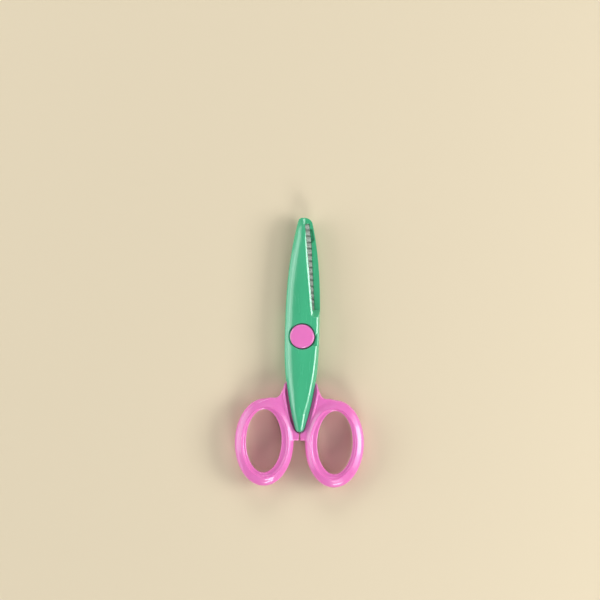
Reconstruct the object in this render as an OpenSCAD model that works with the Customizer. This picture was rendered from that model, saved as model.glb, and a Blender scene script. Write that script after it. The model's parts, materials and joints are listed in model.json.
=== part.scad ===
// Craft pinking shears: two plastic halves with zigzag steel strips, joined by one pivot.
// The second half is the first one turned half a turn about its long axis.
// Origin: on the pivot axis, on the flat back that the shears lie on.
// +Y points to the blade tips, +Z to the front side, +X to the right.

/* [Cover] */
// Distance from the pivot to the blade tips
tip_reach = 57.3; // [54:0.1:62]
// Distance from the pivot to the lower end of the cover
tail_reach = 46.8; // [44:0.1:48]
// Half of the cover's greatest width
cover_half_w = 8.43; // [8:0.01:9.5]
// Half of the whole thickness
half_thick = 5.4; // [5.2:0.1:6]
// Height of the cover's outer edge above the middle plane
edge_height = 1.8; // [1.4:0.1:2.6]
// Distance from the axis to the crease of the wide bevel
crease_w = 3.6; // [3:0.1:4.4]
// Width of the narrow bevel beside the pivot
narrow_bevel = 1.1; // [0.8:0.1:1.6]
// Wall between the cover's outside and its inner pocket
cover_wall = 1.6; // [1.4:0.1:2]
// Corner radius of the front cover's tip
front_tip_round = 1.4; // [1:0.1:2.5]
// Corner radius of the rear cover's tip
rear_tip_round = 2.9; // [1:0.1:2.9]

/* [Blade] */
// Angle between the cutting edge and the long axis
edge_angle = 6.38; // [5:0.01:8]
// Shortest distance from the pivot to the line of the cutting edge
edge_offset = 5.96; // [5.5:0.01:6.5]
// Lowest point of the open cutting edge above the pivot
edge_start = 12.9; // [12.5:0.1:14]
// Thickness of the steel strip
strip_thick = 0.5; // [0.3:0.05:0.6]
// Length of one tooth along the strip
tooth_pitch = 3; // [2.5:0.1:4]
// Height of a tooth from valley to crest
tooth_height = 1.4; // [1:0.1:1.6]
// Radius at which the teeth start, outside the reach of the covers' wide part
tooth_start_r = 15.5; // [15.5:0.1:17]

/* [Handle] */
// Half width of a loop's outer ellipse
loop_half_w = 14.2; // [13:0.1:15]
// Half length of a loop's outer ellipse
loop_half_l = 21.1; // [20:0.1:22]
// Half of a loop's thickness
loop_half_t = 4.4; // [3.8:0.1:5]
// Half width of the finger hole
hole_half_w = 8.6; // [8:0.1:9]
// Half length of the finger hole
hole_half_l = 15.3; // [14:0.1:16]
// Sideways distance from the pivot to the loop's centre
loop_x = 17; // [16.8:0.1:18]
// Distance from the pivot back to the loop's centre
loop_y = 51.6; // [50:0.1:53]
// Thickness of the tongue inside the cover
tongue_thick = 1.8; // [1.5:0.1:2]
// Gap between the two stop webs, each side of the centre line
stop_gap = 0.3; // [0.2:0.05:0.5]

/* [Pivot] */
// Radius of the pivot button
button_r = 5.88; // [5.5:0.01:6]
// Radius of the recess that the button sits in
recess_r = 6.35; // [6.2:0.01:6.5]
// Radius of the pivot pin
pin_r = 2; // [1.8:0.1:2.2]

/* [Hidden] */
$fn = 72;

green = [0.28, 0.73, 0.53];
pink = [0.92, 0.5, 0.78];
steel = [0.68, 0.7, 0.68];
nylon = [0.93, 0.92, 0.88];

sliver = 0.01;
run_gap = 0.05;           // radial clearance of the pin in its holes
face_z = 0.15;            // inner faces stand this far from the middle plane
tongue_z = face_z + tongue_thick;
seat_z = 2;               // underside of the cover over the handle's plate
floor_z = 3.15;           // floor of the button's recess
button_z = 3.9;           // underside of the button
tenon_z = 4.75;           // end of the pin inside the button
tenon_r = 1.3;
washer_r = 5;
washer_t = 0.3;
cone_r = 4.4;             // outer radius, thickness and rise of the spring washer
cone_t = 0.24;
cone_rise = 0.15;
socket_y = -22;           // below this the handle's plate passes under the cover
throat_slope = 3.6;       // length of the slope at the throat
tip_bevel = 6;            // length of the slope at the tip
tip_overlap = 0.1;        // how far each half reaches past the axis at the tip
tip_turn_y = (edge_offset - tip_overlap * cos(edge_angle)) / sin(edge_angle);
tail_r = 2.4;             // radius of the cover's lower end
fade_up = 67.4;           // where the upper outline would reach the axis
fade_down = 52;           // where the lower outline would reach the axis
strip_top = face_z + tooth_height / 2 + strip_thick;
blade_seat_z = strip_top + run_gap;
tang_bottom = 6.9;        // lower end of the strip's flat tang
tang_z = face_z + strip_thick;
groove = 1.2;             // gap between the cover and the handle's rim
rivet_spots = [[-2.7, 9.9], [2.4, 9.9]];
rivet_r = 0.8;
rivet_head_r = 1.35;
rivet_head_t = 0.25;
dowel_spots = [[0, -10.5], [0, -30]];
dowel_r = 1.3;
fastener_top = 3.6;       // how deep rivets and dowels reach into the cover
core_top = 3.8;           // ceiling of the cover's coring pockets
core_x = 3.3;             // place and size of a coring pocket
core_y = -17;
core_w = 2.8;
core_l = 7.5;
notch_depth = 1.1;
button_dome = 1.1;        // how far the button's edge rolls down
button_roll = 1.6;        // how far the roll reaches in
root_half_t = 3.6;        // half thickness of a loop's root and stop web
loop_band = 1.6;          // half height of the loop's outermost band
ridge_shift = 0.5;        // how far the loop's ridge sits towards the axis
ridge_half_w = 11.4;
ridge_half_l = 17.3;
ridge_flat = 0.4;         // width of the ridge's flat top
hole_land = 1.4;          // half height of the finger hole's straight wall

// Half width of the cover's outline at a distance y from the pivot
function outline(y) = cover_half_w
    * (y >= 0 ? 1 - pow(y / fade_up, 2.66) : 1 - pow(-y / fade_down, 2.3));
// Place of the cutting edge at a distance y from the pivot
function edge_x(y) = (edge_offset - y * sin(edge_angle)) / cos(edge_angle);
// Place of the crease between the wide bevel and the flat back
function crease_x(y) = -min(crease_w - max(0, y - 15) * 0.055, outline(y) - 1.6);
// Width of the narrow bevel, which grows towards the lower end
function bevel(y) = min(narrow_bevel - min(y, 0) * 0.036, 0.55 * outline(y));
function ellipse(cx, cy, a, b, n = 48) =
    [for (i = [0:n - 1]) [cx + a * cos(360 * i / n), cy + b * sin(360 * i / n)]];

// Plan of the cover, grown sideways by d, between y0 and y1
module lens(d = 0, y0 = tail_r - tail_reach, y1 = tip_reach) {
    ys = [for (i = [0:24]) y0 + (y1 - y0) * i / 24];
    polygon(concat([for (y = ys) [outline(y) + d, y]],
        [for (i = [24:-1:0]) [-outline(ys[i]) - d, ys[i]]]));
}

// Plan of the cover with its rounded ends
module cover_plan(tip_round) {
    y1 = tip_reach - tip_round;
    lens(y1 = y1);
    translate([0, tail_r - tail_reach]) circle(tail_r);
    polygon(concat(
        [for (a = [0:15:90]) [outline(y1) - tip_round * (1 - cos(a)), y1 + tip_round * sin(a)]],
        [for (a = [90:-15:0]) [-outline(y1) + tip_round * (1 - cos(a)), y1 + tip_round * sin(a)]]));
}

// Flat back of the cover
module back_plan() {
    ys = [for (i = [0:12]) 1.5 - tail_reach + (tip_reach - tip_bevel + tail_reach - 1.5) * i / 12];
    polygon(concat([for (y = ys) [max(outline(y) - bevel(y), 0.6), y]],
        [for (i = [12:-1:0]) [crease_x(ys[i]), ys[i]]]));
}

// Everything on the open side of the cutting edge, which turns parallel to the axis at the tip
module open_side(y0) {
    far = tip_reach + 5;
    polygon([[edge_x(y0), y0], [20, y0], [20, far], [tip_overlap, far], [tip_overlap, tip_turn_y]]);
}

// Bed of the strip in the cover, open towards the cutting edge
module strip_plan(play = 0) {
    y1 = tip_reach - 3;
    polygon([[edge_x(tang_bottom) - 1, tang_bottom - play], [-5, tang_bottom - play],
        [-5.5 - play, edge_start], [-3.2 - play, 45], [-1.9 - play, y1 + play],
        [tip_overlap - 0.5, y1 + play], [tip_overlap, y1 - 1], [tip_overlap, tip_turn_y],
        [edge_x(edge_start), edge_start]]);
}

// One half's cover, outside up
module shell(tip_round) {
    difference() {
        hull() {
            linear_extrude(edge_height) cover_plan(tip_round);
            translate([0, 0, half_thick - sliver]) linear_extrude(sliver) back_plan();
        }
        // Inner face
        translate([0, 0, -1]) linear_extrude(1 + face_z) square(200, center = true);
        // Cutting side
        translate([0, 0, -1]) linear_extrude(half_thick + 2) open_side(edge_start);
        // Slope at the throat
        translate([5, edge_start + sliver, edge_height]) rotate([90, 0, 90])
            linear_extrude(10) polygon([[0, 0], [0, 9], [-throat_slope, 9],
                [-throat_slope, half_thick - edge_height]]);
        // Bed of the strip
        linear_extrude(blade_seat_z) difference() {
            strip_plan(0.05);
            translate([-20, -20]) square([40, 20 + edge_start - 0.4]);
        }
        // Pocket of the tongue
        linear_extrude(tongue_z + run_gap) lens(-cover_wall + 0.05, socket_y - 1, edge_start - 0.4);
        // Room for the handle's plate
        translate([-20, -70, -1]) cube([40, 70 + socket_y, 1 + seat_z]);
        // Coring pockets beside the ribs
        for (side = [-1, 1]) {
            translate([side * core_x, core_y, seat_z]) linear_extrude(2 * (core_top - seat_z), center = true)
                square([core_w, core_l], center = true);
        }
        // Recess, pin hole and the notch beside the recess
        translate([0, 0, floor_z]) cylinder(r = recess_r, h = 10);
        translate([0, 0, -1]) cylinder(r = pin_r + run_gap, h = 10);
        translate([0, 0, half_thick - notch_depth]) linear_extrude(5) notch_plan();
        fasteners();
    }
}

// Notch from the recess to the narrow bevel, slanted at its upper side
module notch_plan() {
    polygon([[4, -4.2], [20, -4.2], [20, 5.4], [7.9, 2.2], [6.3, 0], [4, 0]]);
}

// Flush rivets of the strip and dowels of the tongue, grown by play
module rivets(play = 0) {
    for (spot = rivet_spots) {
        translate([spot[0], spot[1], face_z]) {
            cylinder(r = rivet_r + play, h = fastener_top - face_z + play);
            cylinder(r = rivet_head_r + play, h = rivet_head_t + play);
        }
    }
}

module dowels(play = 0) {
    for (spot = dowel_spots) {
        translate([spot[0], spot[1], face_z + 0.2 - play]) {
            cylinder(r = dowel_r + play, h = fastener_top - face_z - 0.2 + 2 * play);
        }
    }
}

module fasteners() {
    rivets(0.02);
    dowels(0.02);
}

// Steel strip: a flat tang and a zigzag that is a surface of revolution about the pivot,
// so that the two strips nest at every opening angle. up is 1 or -1, the side of the first tooth.
module strip(up) {
    steps = floor((tip_reach - tooth_start_r) / (tooth_pitch / 2));
    teeth = [for (i = [0:steps]) [tooth_start_r + i * tooth_pitch / 2,
        i == 0 ? 0 : (i % 2 == 1 ? 1 : -1) * up * tooth_height / 2]];
    low = concat([[tang_bottom - 1, 0]], teeth);
    difference() {
        intersection() {
            rotate_extrude() translate([0, face_z]) polygon(concat(low,
                [for (i = [len(low) - 1:-1:0]) [low[i][0], low[i][1] + strip_thick]]));
            translate([0, 0, -3]) linear_extrude(8) strip_plan();
        }
        rivets(0.02);
    }
}

function hole() = ellipse(loop_x + 0.2, 0.6 - loop_y, hole_half_w, hole_half_l);
function ridge(inset) = ellipse(loop_x - ridge_shift, 0.1 - loop_y,
    ridge_half_w - inset, ridge_half_l - inset);

// Plan of the web and gusset that join a loop to its plate
module root_plan() {
    polygon([[stop_gap, -44], [stop_gap, -49.6], [1.6, -50.6], [6, -52], [12, -44], [20, -36],
        [20, -31], [17.7, -30.7], [14.3, -29.9], [12.9, -28.5], [10.3, -26.4], [9.3, -24.4],
        [9, -22.4], [6, -26]]);
}

// One loop with its tongue, outside up
module handle() {
    difference() {
        union() {
            difference() {
                union() {
                    hull() {
                        linear_extrude(2 * loop_band, center = true)
                            polygon(ellipse(loop_x, -loop_y, loop_half_w, loop_half_l));
                        linear_extrude(2 * loop_half_t, center = true) polygon(ridge(0));
                    }
                    linear_extrude(2 * root_half_t, center = true) root_plan();
                }
                // Sockets of this half's cover and of the other one
                translate([0, 0, seat_z]) linear_extrude(9) socket_plan();
                translate([0, 0, face_z - 9]) linear_extrude(9) socket_plan();
                // Finger hole with a flare on both sides
                translate([0, 0, -9]) linear_extrude(18) polygon(hole());
                for (side = [-1, 1]) {
                    scale([1, 1, side]) hull() {
                        translate([0, 0, hole_land]) linear_extrude(sliver) polygon(hole());
                        translate([0, 0, loop_half_t]) linear_extrude(0.1) polygon(ridge(ridge_flat));
                    }
                }
            }
            // Plate under the cover, and the tongue inside it
            translate([0, 0, face_z]) linear_extrude(seat_z - face_z - 0.02) intersection() {
                cover_plan(front_tip_round);
                translate([-20, -70]) square([40, 70 + socket_y]);
            }
            translate([0, 0, face_z]) linear_extrude(tongue_thick)
                lens(-cover_wall, socket_y - 0.9, edge_start - 0.5);
        }
        // Seat of the strip's tang
        translate([0, 0, -1]) linear_extrude(1 + tang_z + 0.02) tang_plan();
        translate([0, 0, -1]) cylinder(r = pin_r + run_gap, h = 10);
        fasteners();
    }
}

module socket_plan() {
    lens(groove, socket_y - 22.4, 0);
    translate([0, tail_r - tail_reach]) circle(tail_r + 0.45);
}

module tang_plan() {
    intersection() {
        strip_plan(0.05);
        translate([-20, 0]) square([40, edge_start]);
    }
}

// Press-on cap with a blind hole for the pin's end and a rolled edge
module button() {
    rotate_extrude() polygon(concat([[0, tenon_z + run_gap], [tenon_r, tenon_z + run_gap],
        [tenon_r, button_z], [button_r, button_z], [button_r, half_thick - button_dome]],
        [for (a = [15:15:90]) [button_r - button_roll * (1 - cos(a)),
            half_thick - button_dome * (1 - sin(a))]],
        [[0, half_thick]]));
}

module flat_washer(z0, z1) {
    translate([0, 0, z0]) difference() {
        cylinder(r = washer_r, h = z1 - z0);
        translate([0, 0, -1]) cylinder(r = pin_r + run_gap, h = 5);
    }
}

// Places a half's piece: the front half as drawn, the rear half turned over
module front_half() {
    translate([0, 0, half_thick]) children();
}

module rear_half() {
    translate([0, 0, half_thick]) rotate([0, 180, 0]) children();
}

module front_shell() {
    color(green) front_half() shell(front_tip_round);
}

module rear_shell() {
    color(green) rear_half() shell(rear_tip_round);
}

module front_handle() {
    color(pink) front_half() handle();
}

module rear_handle() {
    color(pink) rear_half() handle();
}

module front_blade() {
    color(steel) front_half() strip(1);
}

module rear_blade() {
    color(steel) rear_half() strip(-1);
}

module front_blade_rivets() {
    color(steel) front_half() rivets();
}

module rear_blade_rivets() {
    color(steel) rear_half() rivets();
}

module front_handle_pins() {
    color(steel) front_half() dowels();
}

module rear_handle_pins() {
    color(steel) rear_half() dowels();
}

module pivot_pin() {
    color(steel) front_half() {
        cylinder(r = pin_r, h = 2 * button_z, center = true);
        cylinder(r = tenon_r, h = 2 * tenon_z, center = true);
    }
}

module front_button() {
    color(pink) front_half() button();
}

module rear_button() {
    color(pink) rear_half() button();
}

module front_washer() {
    color(steel) front_half() flat_washer(floor_z, floor_z + washer_t);
}

module rear_washer() {
    color(steel) rear_half() flat_washer(floor_z, button_z - 0.05);
}

module spring_washer() {
    inner_r = pin_r + run_gap;
    low = floor_z + washer_t + 0.02;
    color(steel) front_half() rotate_extrude()
        polygon([[inner_r, low + cone_rise], [cone_r, low], [cone_r, low + cone_t],
            [inner_r, low + cone_rise + cone_t]]);
}

module friction_disc() {
    color(nylon) front_half() flat_washer(0.02 - face_z, face_z - 0.02);
}

front_shell();
rear_shell();
front_handle();
rear_handle();
front_blade();
rear_blade();
front_blade_rivets();
rear_blade_rivets();
front_handle_pins();
rear_handle_pins();
pivot_pin();
front_button();
rear_button();
front_washer();
rear_washer();
spring_washer();
friction_disc();
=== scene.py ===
import json
import math

import bpy
import numpy as np
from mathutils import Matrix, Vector


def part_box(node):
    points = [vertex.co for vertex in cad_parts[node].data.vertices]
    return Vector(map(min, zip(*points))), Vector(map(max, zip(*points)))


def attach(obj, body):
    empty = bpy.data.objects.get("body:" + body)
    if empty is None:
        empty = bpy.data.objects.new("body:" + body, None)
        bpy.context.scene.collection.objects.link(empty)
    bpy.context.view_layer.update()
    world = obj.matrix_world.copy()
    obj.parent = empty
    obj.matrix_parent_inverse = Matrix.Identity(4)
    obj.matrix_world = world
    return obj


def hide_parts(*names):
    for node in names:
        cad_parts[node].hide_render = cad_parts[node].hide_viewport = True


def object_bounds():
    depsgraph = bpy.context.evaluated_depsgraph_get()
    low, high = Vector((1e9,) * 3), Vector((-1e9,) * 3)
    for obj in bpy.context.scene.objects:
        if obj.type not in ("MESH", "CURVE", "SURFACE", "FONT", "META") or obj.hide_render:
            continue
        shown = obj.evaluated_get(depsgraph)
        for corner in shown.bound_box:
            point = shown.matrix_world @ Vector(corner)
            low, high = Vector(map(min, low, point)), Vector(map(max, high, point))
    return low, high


# Pinking shears. The CAD frame holds the pieces; this script gives them their moulded shapes and materials.
# Shapes are signed distance functions in millimetres, in one half's own frame: origin on the pivot axis in
# the middle plane, +Z out of that half's cover, +Y to the tips. The rear half is the same shape turned over.

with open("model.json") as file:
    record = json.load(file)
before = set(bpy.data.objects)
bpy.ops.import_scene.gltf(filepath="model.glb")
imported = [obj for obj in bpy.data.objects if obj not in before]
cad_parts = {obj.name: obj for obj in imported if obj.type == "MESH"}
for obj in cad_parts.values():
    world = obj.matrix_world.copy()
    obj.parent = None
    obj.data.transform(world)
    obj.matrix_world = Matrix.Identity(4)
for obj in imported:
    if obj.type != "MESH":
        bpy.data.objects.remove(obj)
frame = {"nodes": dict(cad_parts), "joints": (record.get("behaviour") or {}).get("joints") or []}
cad_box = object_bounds()
MM = 0.001


def node_box(node):
    """Lowest and highest corner of a CAD node in millimetres."""
    low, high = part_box(node)
    return np.array(low) / MM, np.array(high) / MM


# ---------------------------------------------------------------- sizes, in mm

SHELL_LOW, SHELL_HIGH = node_box("front_shell")
LOOP_LOW, LOOP_HIGH = node_box("front_handle")
HALF_T = (cad_box[0].z + cad_box[1].z) / 2 / MM

# how far apart a shape's values are read to find its slope
PROBE = 0.01

# the cover's outline: where its sides would meet the axis above and below, and how long they stay full
TIP_Y, TAIL_Y = SHELL_HIGH[1], SHELL_LOW[1]
COVER_W = SHELL_HIGH[0]
FADE_UP, FADE_DOWN = 67.4, 52.0
SWELL_UP, SWELL_DOWN = 2.66, 2.3
TIP_ROUND = {"front": 1.4, "rear": 2.9}
TAIL_ROUND = 2.4

# the cover's back, from its edge at EDGE_Z: a wide bevel up to the crease, a narrow one with a small cut
# on the other side, and one at each end
FACE_Z = SHELL_LOW[2] - HALF_T
EDGE_Z = 1.8
CREASE_W, CREASE_SHARE = 3.6, 0.72
TAPER_Y, TAPER = 15, 0.055
NARROW_BEVEL, NARROW_GROWTH, NARROW_SHARE = 1.1, 0.036, 0.55
EDGE_CUT, CUT_TILT = 0.6, math.radians(30)
TIP_BEVEL, TAIL_BEVEL = 6.0, 1.0
CREASE_ROUND, CUT_ROUND, BACK_ROUND = 2.4, 0.1, 0.05
NOSE_ROUND, HEEL_ROUND, PLAN_ROUND = 2.5, 0.6, 0.5

# the cutting edge with its lip, and the slope at the throat
EDGE_ANGLE = math.radians(6.38)
EDGE_OFFSET, EDGE_START, TIP_OVERLAP = 5.96, 12.9, 0.1
LIP, LIP_DROP, LIP_ROUND = 1.0, 0.6, 0.1
THROAT_SLOPE, THROAT_ROUND, THROAT_FILLET = 3.6, 0.4, 0.5
EDGE_ROUND = 0.12

# the button's recess, the notch beside it and the pin's hole
RECESS_R, RECESS_Z, RECESS_ROUND = 6.35, 3.15, 0.45
NOTCH_DEEP, NOTCH_X, NOTCH_LOW, NOTCH_ROUND = 1.4, 4, -4.2, 0.5
NOTCH_SLANT = (6.3, 0.0, 7.9, 2.2)
PIN_R = 2.05

# the button: its chamfered lower edge, the hole for the pin's end, the rolled upper edge and the crown
BUTTON_R, BUTTON_Z, BUTTON_EDGE = 5.88, 3.9, 0.2
TENON_R, TENON_Z = 1.3, 4.8
ROLL, ROLL_DROP, CROWN, DOME_STEPS = 1.3, 0.95, 0.22, 8

# the strip's bed with its outer wall in two straight runs, and the pocket beside its end
BED_Z, BED_END, BED_ROUND = 1.4, TIP_Y - 2.95, 0.35
BED_START_X, BED_TURN, BED_END_X = -5.55, (45, -3.25), -1.95
POCKET_WALL, POCKET_SLANT = 0.75, (-3.2, 45.0, -5.2, 47.3)
POCKET_END, POCKET_X, POCKET_Z, POCKET_ROUND = 51.8, -1.2, 1.0, 0.15

# the handle's plate and tongue in the cover, and the flat for the strip's tang
COVER_WALL, PLAY = 1.6, 0.05
SEAT_Z, SOCKET_Y = 2.0, -22.0
TONGUE_Z, TONGUE_TOP, TONGUE_LAP = 1.95, EDGE_START - 0.9, 1
TONGUE_PLAY, TONGUE_ROUND, SLAB_ROUND = 0.1, 0.3, 0.1
TANG_Z, TANG_BOTTOM = 0.67, 6.85
TANG_LOW_X, TANG_HIGH_X = -5.6, 5.8

# the loop's outer edge, ridge and finger hole as ellipses, each with its centre and half axes
LOOP_C, LOOP_A = np.array([17.0, -51.6]), np.array([14.2, 21.1])
RIDGE_C, RIDGE_A = np.array([16.5, -51.5]), np.array([11.2, 17.0])
HOLE_C, HOLE_A = np.array([17.2, -51.0]), np.array([8.6, 15.3])

# the loop's section: outside from the band up to the ridge, inside from the ridge down to the land
RIDGE_Z = LOOP_HIGH[2] - HALF_T
BAND_Z, LAND_Z = 2.2, 1.3
SIDE_RISE, SIDE_BEND, FLARE_EVEN, FLARE_POWER = 1.25, 0.25, 0.5, 3.5
LEAST_RUN, MOST_ACROSS = 0.1, 2
SIDE_STEEP, FLARE_STEEP = 1.3, 1.8
RIDGE_ROUND, OUTER_ROUND, HOLE_ROUND = 0.6, 0.8, 0.5

# the root, which widens below the cover's waist: a band along the cover, an arm to the loop, a stop web
SPREAD_FROM, SPREAD_TO = 22.0, 28.0
ROOT_Z, ROOT_LOWER = 2.9, 0.9
BAND_TOP, BAND_LOW = -22.9, -47.5
BAND_OUT, BAND_WIDER, BAND_IN = 0.5, 2.1, 1.0
ARM_TOP, ARM_LOW, ARM_X = -30.2, -38, 16.5
WEB_X, WEB_Y, WEB_HALF_W, WEB_HALF_L = 4, -45.5, 4, 4.9
LOOP_INSET, STOP_GAP = 1.5, 0.3
BAND_ROUND, ARM_ROUND, ROOT_ROUND, STOP_ROUND = 0.3, 3.0, 0.8, 0.3
ARM_FILLET, LOOP_FILLET, WEB_FILLET, ROOT_FILLET = 4.5, 4.0, 1.5, 0.9

# the groove round the cover, narrower at the waist and the tail, and the rim outside it
GROOVE, GROOVE_LEAST, GROOVE_TAIL = 1.0, 0.1, 0.45
TAIL_FROM, TAIL_TO = 40, 45
RIM_W, RIM_WIDER, RIM_SET = 0.15, 0.25, 0.1
RIM_DROP, RIM_RISE, RIM_FALL = 0.5, 1.05, 0.85
FALL_FROM, FALL_TO, RIM_LOW = 35, 45, -46
RIM_ROUND, RIM_FILLET = 0.3, 0.5

# the sockets in the handle: this cover's groove and seat, and the groove for the other cover
DITCH_Z, SOCKET_TOP = 2.6, 1
SEAT_PLAY, SEAT_SINK = 0.12, 0.02
DITCH_ROUND, OTHER_DITCH_ROUND = 0.3, 0.2


# ---------------------------------------------------------------- distance helpers

def both(a, b, r=0.0):
    """Where both shapes are, with the edge rounded to radius r."""
    if r == 0:
        return np.maximum(a, b)
    return np.minimum(np.maximum(a, b), -r) + np.hypot(np.maximum(a + r, 0), np.maximum(b + r, 0))


def either(a, b, r=0.0):
    """Where either shape is, with the corner filled to radius r."""
    return -both(-a, -b, r)


def less(a, b, r=0.0):
    """The first shape without the second, with the new edge rounded to radius r."""
    return both(a, -b, r)


def plane(u, v, u0, v0, u1, v1):
    """Distance from the line through (u0, v0) and (u1, v1), positive on its left."""
    du, dv = u1 - u0, v1 - v0
    return (du * (v - v0) - dv * (u - u0)) / math.hypot(du, dv)


def ellipse(x, y, centre, semi):
    """Near distance from an ellipse."""
    px, py = x - centre[0], y - centre[1]
    k0 = np.hypot(px / semi[0], py / semi[1])
    k1 = np.hypot(px / semi[0] ** 2, py / semi[1] ** 2)
    return k0 * (k0 - 1) / np.maximum(k1, 1e-9)


def step(lo, hi, v):
    """0 below lo, 1 above hi, smooth between."""
    t = np.clip((v - lo) / (hi - lo), 0, 1)
    return t * t * (3 - 2 * t)


# ---------------------------------------------------------------- outlines of one half

def outline(y):
    """Half width of the cover at y."""
    above = 1 - (np.abs(y) / FADE_UP) ** SWELL_UP
    below = 1 - (np.abs(y) / FADE_DOWN) ** SWELL_DOWN
    return COVER_W * np.where(y >= 0, above, below)


def lens(x, y):
    """Distance outside the cover's two long sides."""
    slope = (outline(y + PROBE) - outline(y - PROBE)) / (2 * PROBE)
    return (np.abs(x) - outline(y)) / np.hypot(1, slope)


def cover_plan(x, y, tip_round):
    """The cover's outline with its rounded ends."""
    rounded_tip = both(lens(x, y), y - TIP_Y, tip_round)
    return both(rounded_tip, TAIL_Y - y, TAIL_ROUND)


def cutting_line(x, y):
    """Distance past the cutting edge, on its open side."""
    line = x * math.cos(EDGE_ANGLE) + y * math.sin(EDGE_ANGLE) - EDGE_OFFSET
    return np.minimum(line, x - TIP_OVERLAP)


def strip_bed(x, y):
    """The bed that the steel strip lies in, without its end at the tang."""
    lower = -plane(y, x, EDGE_START, BED_START_X, *BED_TURN)
    upper = -plane(y, x, *BED_TURN, BED_END, BED_END_X)
    return np.maximum(np.maximum(lower, upper), y - BED_END)


def tip_pocket(x, y):
    """A shallow pocket beside the strip's end, with a slanted lower side."""
    side = lens(x, y) + POCKET_WALL
    slant = plane(x, y, *POCKET_SLANT)
    return np.maximum(np.maximum(side, slant), np.maximum(y - POCKET_END, x - POCKET_X))


# ---------------------------------------------------------------- the cover

def cover_back(x, y, z, plan):
    """The cover's outside with its bevels, before anything is cut from it."""
    width = outline(y)
    crease = np.minimum(CREASE_W - np.maximum(0, y - TAPER_Y) * TAPER, CREASE_SHARE * width)
    narrow = np.minimum(NARROW_BEVEL - np.minimum(y, 0) * NARROW_GROWTH, NARROW_SHARE * width)
    rise = HALF_T - EDGE_Z
    wide_run = width - crease
    wide = (wide_run * (z - EDGE_Z) - rise * (x + width)) / np.hypot(wide_run, rise)
    slim = (narrow * (z - EDGE_Z) + rise * (x - width)) / np.hypot(narrow, rise)
    nose = (TIP_BEVEL * (z - EDGE_Z) + rise * (y - TIP_Y)) / math.hypot(TIP_BEVEL, rise)
    heel = (TAIL_BEVEL * (z - EDGE_Z) - rise * (y - TAIL_Y)) / math.hypot(TAIL_BEVEL, rise)
    cut = (x - width + narrow + EDGE_CUT) * math.sin(CUT_TILT) + (z - HALF_T) * math.cos(CUT_TILT)
    back = both(both(z - HALF_T, wide, CREASE_ROUND), both(slim, cut, CUT_ROUND), BACK_ROUND)
    return both(both(both(back, nose, NOSE_ROUND), heel, HEEL_ROUND), plan, PLAN_ROUND)


def cutting_side(x, y, z):
    """What the cutting edge leaves of a cover: its side with a lip, and a slope at the throat."""
    rise = HALF_T - EDGE_Z
    past = cutting_line(x, y)
    lip = plane(past, z, 0, HALF_T - LIP_DROP, -LIP, HALF_T)
    blade_side = both(past, -lip, LIP_ROUND)
    slope = (THROAT_SLOPE * (z - EDGE_Z) + rise * (y - EDGE_START)) / math.hypot(THROAT_SLOPE, rise)
    throat = both(y - EDGE_START, slope, THROAT_ROUND)
    return either(blade_side, throat, THROAT_FILLET)


def cover_shape(x, y, z, tip_round):
    """One half's moulded cover."""
    back = cover_back(x, y, z, cover_plan(x, y, tip_round))
    body = both(back, cutting_side(x, y, z), EDGE_ROUND)

    # the button's recess, the notch beside it and the pin's hole
    radius = np.hypot(x, y)
    body = less(body, both(radius - RECESS_R, RECESS_Z - z), RECESS_ROUND)
    slant = plane(x, y, *NOTCH_SLANT)
    floor_and_side = np.maximum(HALF_T - NOTCH_DEEP - z, NOTCH_X - x)
    notch = np.maximum(np.maximum(NOTCH_LOW - y, slant), floor_and_side)
    body = less(body, notch, NOTCH_ROUND)
    body = less(body, radius - PIN_R)

    # inside: the middle plane, the handle's plate, the tongue's pocket and the strip's bed
    body = both(body, FACE_Z - z)
    body = less(body, np.maximum(y - SOCKET_Y, z - SEAT_Z))
    pocket = both(lens(x, y) + COVER_WALL - PLAY, y - TONGUE_TOP - TONGUE_PLAY, TONGUE_ROUND)
    body = less(body, both(pocket, z - TONGUE_Z - PLAY), SLAB_ROUND)
    bed = np.maximum(np.maximum(strip_bed(x, y), TONGUE_TOP - y), z - BED_Z)
    body = less(body, bed, BED_ROUND)
    return less(body, np.maximum(tip_pocket(x, y), z - POCKET_Z), POCKET_ROUND)


# ---------------------------------------------------------------- the handle

def ring_shape(x, y, flat):
    """The loop: a sloped outside up to the ridge, then a flare down into the hole."""
    outer = ellipse(x, y, LOOP_C, LOOP_A)
    ridge = ellipse(x, y, RIDGE_C, RIDGE_A)
    hole = ellipse(x, y, HOLE_C, HOLE_A)
    out = np.clip(-outer / np.maximum(ridge - outer, LEAST_RUN), 0, MOST_ACROSS)
    into = np.clip(hole / np.maximum(hole - ridge, LEAST_RUN), 0, MOST_ACROSS)
    round_side = BAND_Z + (RIDGE_Z - BAND_Z) * out * (SIDE_RISE - SIDE_BEND * out)
    rise = FLARE_EVEN * into + (1 - FLARE_EVEN) * into ** FLARE_POWER
    flare = LAND_Z + (RIDGE_Z - LAND_Z) * rise
    top = both((flat - round_side) / SIDE_STEEP, (flat - flare) / FLARE_STEEP, RIDGE_ROUND)
    return both(top, outer, OUTER_ROUND), outer, hole


def root_shape(x, y, flat, side, outer, spread):
    """The root: a band along the cover, an arm to the loop and the stop web."""
    band_sides = np.maximum(side - BAND_OUT - BAND_WIDER * spread, -BAND_IN - side)
    band = both(band_sides, np.maximum(y - BAND_TOP, BAND_LOW - y), BAND_ROUND)
    arm = np.maximum(both(y - ARM_TOP, x - ARM_X, ARM_ROUND), ARM_LOW - y)
    web = np.maximum(np.abs(x - WEB_X) - WEB_HALF_W, np.abs(y - WEB_Y) - WEB_HALF_L)
    plan = either(either(arm, band, ARM_FILLET), outer + LOOP_INSET, LOOP_FILLET)
    plan = either(plan, web, WEB_FILLET)
    return both(plan, flat - ROOT_Z + ROOT_LOWER * (1 - spread), ROOT_ROUND)


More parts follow.
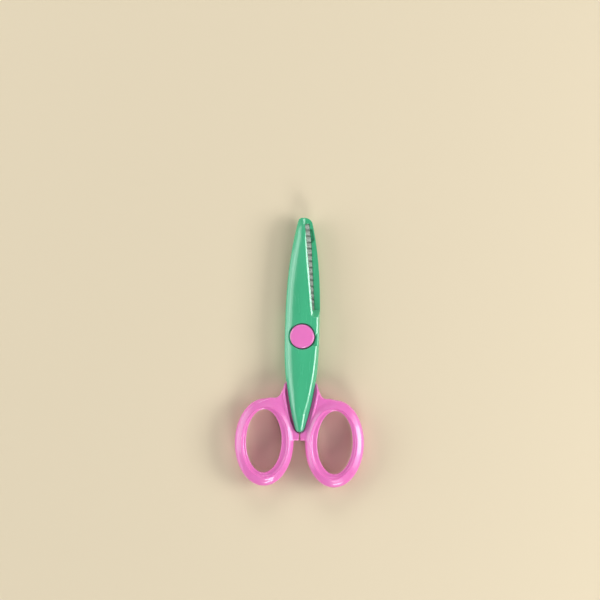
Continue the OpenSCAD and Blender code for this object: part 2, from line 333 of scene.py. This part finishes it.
def rim_shape(y, flat, side, groove, spread):
    """The raised rim outside the groove."""
    rim_w = RIM_W + RIM_WIDER * spread
    rim_top = ROOT_Z - RIM_DROP + RIM_RISE * spread - RIM_FALL * step(FALL_FROM, FALL_TO, -y)
    rim_sides = np.abs(side - groove - RIM_SET - rim_w) - rim_w
    rim_ends = np.maximum(y - BAND_TOP, RIM_LOW - y)
    return both(rim_sides, np.maximum(flat - rim_top, rim_ends), RIM_ROUND)


def handle_shape(x, y, z):
    """One half's loop with its root, plate and tongue."""
    flat = np.abs(z)
    side = lens(x, y)
    spread = step(SPREAD_FROM, SPREAD_TO, -y)
    groove = GROOVE_LEAST + (GROOVE - GROOVE_LEAST) * spread

    # the loop, its root and rim, the finger hole and the stop's face
    ring, outer, hole = ring_shape(x, y, flat)
    body = either(ring, root_shape(x, y, flat, side, outer, spread), ROOT_FILLET)
    body = either(body, rim_shape(y, flat, side, groove, spread), RIM_FILLET)
    body = less(body, hole, HOLE_ROUND)
    body = both(body, STOP_GAP - x, STOP_ROUND)

    # the sockets of this half's cover and of the other one
    reach = groove - (GROOVE - GROOVE_TAIL) * step(TAIL_FROM, TAIL_TO, -y)
    footprint = both(side, TAIL_Y - y, TAIL_ROUND)
    ditch = both(footprint - reach, y - SOCKET_TOP)
    seat = both(footprint - SEAT_PLAY, y - SOCKET_TOP)
    body = less(body, both(ditch, DITCH_Z - z), DITCH_ROUND)
    body = less(body, both(seat, SEAT_Z - SEAT_SINK - z))
    body = less(body, both(ditch, z - FACE_Z), OTHER_DITCH_ROUND)

    # the plate under the cover and the tongue inside it
    plate = both(footprint, y - SOCKET_Y)
    tongue_ends = np.maximum(y - TONGUE_TOP, SOCKET_Y - TONGUE_LAP - y)
    tongue = both(side + COVER_WALL, tongue_ends, TONGUE_ROUND)
    slab = np.maximum(FACE_Z - z, z - TONGUE_Z)
    body = either(body, both(either(plate, tongue), slab, SLAB_ROUND))
    body = less(body, np.hypot(x, y) - PIN_R)
    tang_sides = np.maximum(TANG_LOW_X - x, x - TANG_HIGH_X)
    tang = np.maximum(tang_sides, np.maximum(TANG_BOTTOM - y, z - TANG_Z))
    return less(body, tang)


# ---------------------------------------------------------------- meshing

EDGE_CALM = 0.08
MOST_PULL = 0.6
LEAST_SLOPE, MOST_STEP = 0.2, 0.08
SHARP_ANGLE = math.radians(28)


def slope_at(points, shape):
    """Value of a shape at points, and its gradient there."""
    x, y, z = points.T
    value = shape(x, y, z)
    slope = np.stack([shape(x + PROBE, y, z), shape(x, y + PROBE, z), shape(x, y, z + PROBE)], 1)
    return value, (slope - value[:, None]) / PROBE


def settle(points, shape):
    """Moves points onto the zero surface along its gradient."""
    value, slope = slope_at(points, shape)
    size = np.maximum((slope ** 2).sum(1), LEAST_SLOPE)
    return points + np.clip(-(value / size)[:, None] * slope, -MOST_STEP, MOST_STEP)


def crossings(shape, low, high, cell):
    """Points where grid edges cross the surface, and the four cells round each one, as ordered ids."""
    count = np.ceil((np.array(high) - low) / cell).astype(int) + 1
    axes = [low[i] + cell * np.arange(count[i]) for i in range(3)]
    field = shape(axes[0][:, None, None], axes[1][None, :, None], axes[2][None, None, :])
    field = np.broadcast_to(field, count)
    points, rings = [], []
    for axis in range(3):
        first, second = [slice(None)] * 3, [slice(None)] * 3
        first[axis], second[axis] = slice(0, -1), slice(1, None)
        start, end = field[tuple(first)], field[tuple(second)]
        crossed = (start < 0) != (end < 0)
        corner = np.argwhere(crossed)
        start, end = start[crossed], end[crossed]
        place = corner.astype(float)
        place[:, axis] += start / (start - end)
        points.append(place * cell + low)
        ring = np.repeat(corner[:, None], 4, 1)
        ring[:, :, (axis + 1) % 3] += np.array([-1, 0, 0, -1])
        ring[:, :, (axis + 2) % 3] += np.array([-1, -1, 0, 0])
        ring[start >= 0] = ring[start >= 0][:, ::-1]
        rings.append(np.ravel_multi_index(tuple(np.moveaxis(ring, -1, 0)), tuple(count)))
    return np.concatenate(points), np.concatenate(rings)


def surface_mesh(shape, low, high, cell):
    """Closed quad mesh of the zero surface, with its vertices pulled onto sharp edges."""
    points, rings = crossings(shape, low, high, cell)
    points = settle(points, shape)
    normals = slope_at(points, shape)[1]
    normals /= np.maximum(np.linalg.norm(normals, axis=1), 1e-6)[:, None]
    used, faces = np.unique(rings, return_inverse=True)
    faces = faces.reshape(-1, 4)
    owner = faces.ravel()
    point, normal = np.repeat(points, 4, 0), np.repeat(normals, 4, 0)

    def summed(values):
        return np.bincount(owner, values, len(used))

    hits = summed(np.ones(len(owner)))
    middle = np.stack([summed(point[:, i]) / hits for i in range(3)], 1)
    offset = (normal * (point - middle[owner])).sum(1)
    rows = [[summed(normal[:, i] * normal[:, j]) for j in range(3)] for i in range(3)]
    spread = np.stack([np.stack(row, 1) for row in rows], 1)
    pull = np.stack([summed(normal[:, i] * offset) for i in range(3)], 1)
    move = np.linalg.solve(spread + EDGE_CALM * np.eye(3), pull[:, :, None])[:, :, 0]
    most = MOST_PULL * cell
    return settle(middle + np.clip(move, -most, most), shape), faces


def half_place(points, half):
    """From a half's own frame in mm to the part's frame in metres."""
    turn = 1 if half == "front" else -1
    return np.stack([points[:, 0] * turn, points[:, 1], points[:, 2] * turn + HALF_T], 1) * MM


def add_object(name, mesh, material):
    """Puts a mesh into the scene with its material."""
    obj = bpy.data.objects.new(name, mesh)
    bpy.context.collection.objects.link(obj)
    mesh.materials.append(material)
    return obj


def add_mesh(name, points, faces, material):
    """A smooth mesh of faces with equal corner counts, sharp where faces meet at an angle."""
    mesh = bpy.data.meshes.new(name)
    mesh.vertices.add(len(points))
    mesh.vertices.foreach_set("co", points.astype(np.float32).ravel())
    mesh.loops.add(faces.size)
    mesh.loops.foreach_set("vertex_index", faces.astype(np.int32).ravel())
    mesh.polygons.add(len(faces))
    mesh.polygons.foreach_set("loop_start", np.arange(0, faces.size, faces.shape[1], dtype=np.int32))
    mesh.polygons.foreach_set("use_smooth", np.ones(len(faces), bool))
    mesh.update(calc_edges=True)
    mesh.validate()
    mesh.set_sharp_from_angle(angle=SHARP_ANGLE)
    return add_object(name, mesh, material)


def lathe(name, profile, half, material, segments=96):
    """A turned solid from a closed profile of (radius, z) points that starts and ends on the axis."""
    rings = [(r, z) for r, z in profile if r > 0]
    angles = np.arange(segments) * 2 * math.pi / segments
    points = [[r * math.cos(a), r * math.sin(a), z] for r, z in rings for a in angles]
    points += [[0, 0, profile[0][1]], [0, 0, profile[-1][1]]]
    quads, caps = [], []
    for i in range(len(rings) - 1):
        for j in range(segments):
            k = (j + 1) % segments
            near, far = i * segments, (i + 1) * segments
            quads.append([near + j, near + k, far + k, far + j])
    last = (len(rings) - 1) * segments
    for j in range(segments):
        k = (j + 1) % segments
        caps.append([len(points) - 2, k, j])
        caps.append([len(points) - 1, last + j, last + k])
    mesh = bpy.data.meshes.new(name)
    mesh.from_pydata(half_place(np.array(points), half).tolist(), [], quads + caps)
    mesh.polygons.foreach_set("use_smooth", np.ones(len(mesh.polygons), bool))
    mesh.update()
    return add_object(name, mesh, material)


# ---------------------------------------------------------------- materials

def new_material(name, color, roughness):
    """A material of one colour and roughness, with its nodes, links and shader."""
    mat = bpy.data.materials.new(name)
    mat.use_nodes = True
    nodes, links = mat.node_tree.nodes, mat.node_tree.links
    shader = nodes["Principled BSDF"]
    shader.inputs["Base Color"].default_value = (*color, 1)
    shader.inputs["Roughness"].default_value = roughness
    return mat, nodes, links, shader


def srgb(r, g, b):
    """Linear colour from 0-255 display values."""
    return tuple(((c / 255 + 0.055) / 1.055) ** 2.4 for c in (r, g, b))


def add_noise(nodes, links, vector, scale, detail):
    """A noise value over a vector."""
    noise = nodes.new("ShaderNodeTexNoise")
    noise.inputs["Scale"].default_value = scale
    noise.inputs["Detail"].default_value = detail
    links.new(vector, noise.inputs["Vector"])
    return noise.outputs["Fac"]


def add_stretch(nodes, links, vector, scale, turn=0):
    """A vector scaled by axis and turned about Z."""
    stretch = nodes.new("ShaderNodeMapping")
    stretch.inputs["Scale"].default_value = scale
    stretch.inputs["Rotation"].default_value = (0, 0, turn)
    links.new(vector, stretch.inputs["Vector"])
    return stretch.outputs["Vector"]


def add_range(nodes, links, value, source, result):
    """A value taken from one range to another."""
    span = nodes.new("ShaderNodeMapRange")
    for end, number in zip(("From Min", "From Max", "To Min", "To Max"), source + result):
        span.inputs[end].default_value = number
    links.new(value, span.inputs["Value"])
    return span.outputs["Result"]


def add_bump(nodes, links, height, shader, strength, distance):
    """Roughens a shader's surface by a height."""
    bump = nodes.new("ShaderNodeBump")
    bump.inputs["Strength"].default_value = strength
    bump.inputs["Distance"].default_value = distance
    links.new(height, bump.inputs["Height"])
    links.new(bump.outputs["Normal"], shader.inputs["Normal"])


def moulded_plastic(name, color, deep, roughness, glow):
    """Glossy moulded plastic: slight tone drift, fine orange peel and hairline scuffs."""
    mat, nodes, links, shader = new_material(name, color, roughness)
    place = nodes.new("ShaderNodeTexCoord").outputs["Object"]

    drift = add_noise(nodes, links, place, 60, 3)
    tone = nodes.new("ShaderNodeMix")
    tone.data_type = "RGBA"
    tone.inputs["A"].default_value = (*color, 1)
    tone.inputs["B"].default_value = (*deep, 1)
    links.new(add_range(nodes, links, drift, (0.35, 0.75), (0, 0.35)), tone.inputs["Factor"])
    links.new(tone.outputs["Result"], shader.inputs["Base Color"])

    scuff = add_noise(nodes, links, add_stretch(nodes, links, place, (1, 0.12, 1), 0.6), 900, 4)
    gloss = add_range(nodes, links, scuff, (0.45, 0.8), (roughness, roughness + 0.07))
    links.new(gloss, shader.inputs["Roughness"])

    peel = add_noise(nodes, links, place, 420, 2)
    add_bump(nodes, links, peel, shader, 0.035, 0.0002)

    shader.inputs["Subsurface Weight"].default_value = glow
    shader.inputs["Subsurface Radius"].default_value = (1, 0.6, 0.8)
    shader.inputs["Subsurface Scale"].default_value = 0.0015
    shader.inputs["Coat Weight"].default_value = 0.6
    shader.inputs["Coat Roughness"].default_value = 0.08
    shader.inputs["IOR"].default_value = 1.5
    return mat


def brushed_steel(name, color, roughness, grain, metal):
    """Steel with a fine directional grain."""
    mat, nodes, links, shader = new_material(name, color, roughness)
    shader.inputs["Metallic"].default_value = metal
    place = nodes.new("ShaderNodeTexCoord").outputs["Object"]
    lines = add_noise(nodes, links, add_stretch(nodes, links, place, grain), 1500, 3)
    rough = add_range(nodes, links, lines, (0, 1), (roughness - 0.08, roughness + 0.12))
    links.new(rough, shader.inputs["Roughness"])
    add_bump(nodes, links, lines, shader, 0.12, 0.0001)
    return mat


GREEN = moulded_plastic("green_plastic", srgb(70, 186, 136), srgb(52, 170, 120), 0.24, 0.12)
PINK = moulded_plastic("pink_plastic", srgb(235, 122, 196), srgb(226, 104, 184), 0.32, 0.25)
BLADE_STEEL = brushed_steel("blade_steel", srgb(180, 186, 180), 0.42, (1, 0.05, 1), 0.45)
FASTENER_STEEL = brushed_steel("fastener_steel", srgb(205, 205, 203), 0.26, (1, 1, 0.1), 0.6)
NYLON = moulded_plastic("nylon", srgb(236, 234, 224), srgb(226, 222, 208), 0.45, 0.2)


# ---------------------------------------------------------------- pieces

COVER_CELL = 0.2
HANDLE_CELL = 0.28
MARGIN = 0.78


def dress(piece, half, node):
    """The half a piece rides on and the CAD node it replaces."""
    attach(piece, half + "_half")
    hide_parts(node)


def make_cover(half):
    low = np.array([-COVER_W, TAIL_Y, FACE_Z]) - MARGIN
    high = np.array([COVER_W, TIP_Y, HALF_T]) + MARGIN

    def shape(x, y, z):
        return cover_shape(x, y, z, TIP_ROUND[half])

    points, faces = surface_mesh(shape, low, high, COVER_CELL)
    piece = add_mesh(half + "_cover", half_place(points, half), faces, GREEN)
    dress(piece, half, half + "_shell")


def make_handle(half):
    low = np.array([-COVER_W, LOOP_LOW[1], -RIDGE_Z]) - MARGIN
    high = np.array([LOOP_HIGH[0], TONGUE_TOP, RIDGE_Z]) + MARGIN
    points, faces = surface_mesh(handle_shape, low, high, HANDLE_CELL)
    piece = add_mesh(half + "_loop", half_place(points, half), faces, PINK)
    dress(piece, half, half + "_handle")


def make_button(half):
    """A low dome with a rolled edge and a blind hole for the pin's end."""
    profile = [(0, TENON_Z), (TENON_R, TENON_Z), (TENON_R, BUTTON_Z), (BUTTON_R - BUTTON_EDGE, BUTTON_Z),
               (BUTTON_R, BUTTON_Z + BUTTON_EDGE)]
    for i in range(DOME_STEPS + 1):
        a = math.radians(90 * i / DOME_STEPS)
        r = BUTTON_R - ROLL * (1 - math.cos(a))
        profile.append((r, HALF_T - CROWN - ROLL_DROP * (1 - math.sin(a))))
    top_r = BUTTON_R - ROLL
    for i in range(1, DOME_STEPS + 1):
        r = top_r * (1 - i / DOME_STEPS)
        profile.append((r, HALF_T - CROWN * (r / top_r) ** 2))
    piece = lathe(half + "_cap", profile, half, PINK)
    dress(piece, "rear", half + "_button")


for HALF in ("front", "rear"):
    make_cover(HALF)
    make_handle(HALF)
    make_button(HALF)

CAD_MATERIALS = {"front_blade": BLADE_STEEL, "rear_blade": BLADE_STEEL, "friction_disc": NYLON}
for node_name, obj in frame["nodes"].items():
    material = CAD_MATERIALS.get(node_name, FASTENER_STEEL)
    obj.data.materials.clear()
    obj.data.materials.append(material)


# ---------------------------------------------------------------- floor, light and camera

def make_floor():
    """A pale floor just under the shears."""
    mat, nodes, links, shader = new_material("pale_floor", srgb(222, 208, 180), 0.8)
    shader.inputs["Specular IOR Level"].default_value = 0.15
    place = nodes.new("ShaderNodeTexCoord").outputs["Object"]
    add_bump(nodes, links, add_noise(nodes, links, place, 90, 5), shader, 0.05, 0.0005)
    size, gap = 3.0, 0.0001
    corners = [(-size, -size, 0), (size, -size, 0), (size, size, 0), (-size, size, 0)]
    mesh = bpy.data.meshes.new("floor")
    mesh.from_pydata(corners, [], [(0, 1, 2, 3)])
    floor = add_object("floor", mesh, mat)
    floor.location.z = cad_box[0].z - gap


def area_light(name, place, target, size, power, color=(1, 1, 1)):
    """A rectangular light that faces its target."""
    data = bpy.data.lights.new(name, "AREA")
    data.shape = "RECTANGLE"
    data.size, data.size_y = size
    data.energy = power
    data.color = color
    lamp = bpy.data.objects.new(name, data)
    lamp.location = place
    lamp.rotation_euler = (Vector(target) - Vector(place)).to_track_quat("-Z", "Y").to_euler()
    bpy.context.collection.objects.link(lamp)


def make_lights():
    aim = (0, 0, 0)
    area_light("left_box", (-0.85, 0.2, 0.48), aim, (1.0, 0.36), 3.5)
    area_light("left_low", (-0.95, -0.05, 0.25), aim, (1.2, 0.36), 3.4, (0.9, 0.96, 1))
    area_light("right_box", (0.85, 0.0, 0.46), aim, (1.0, 0.36), 4.0)
    area_light("right_key", (0.85, -0.03, 0.42), aim, (0.42, 0.3), 3.6)
    area_light("front_key", (0.2, -0.88, 0.45), aim, (0.4, 0.3), 4.2)
    area_light("back_box", (-0.05, 0.95, 0.5), aim, (0.8, 0.3), 4.0)
    world = bpy.data.worlds.new("studio")
    world.use_nodes = True
    background = world.node_tree.nodes["Background"]
    background.inputs["Color"].default_value = (1, 1, 1, 1)
    background.inputs["Strength"].default_value = 0.2
    bpy.context.scene.world = world


def make_camera():
    """Straight down on the shears, slightly turned; field is the width seen at their front, in metres."""
    field, distance, turn = 0.289, 1.2, math.radians(1.5)
    aside, ahead = -0.0015, 0.0175
    data = bpy.data.cameras.new("camera")
    data.sensor_width = 36
    data.lens = data.sensor_width * distance / field
    camera = bpy.data.objects.new("camera", data)
    pivot = Vector(frame["joints"][0]["pos_m"])
    middle = pivot + Vector((aside, ahead, 2 * HALF_T * MM))
    camera.location = middle + Vector((0, 0, distance))
    camera.rotation_euler = (0, 0, turn)
    bpy.context.collection.objects.link(camera)
    bpy.context.scene.camera = camera


make_floor()
make_lights()
make_camera()
bpy.context.scene.view_settings.view_transform = "Standard"
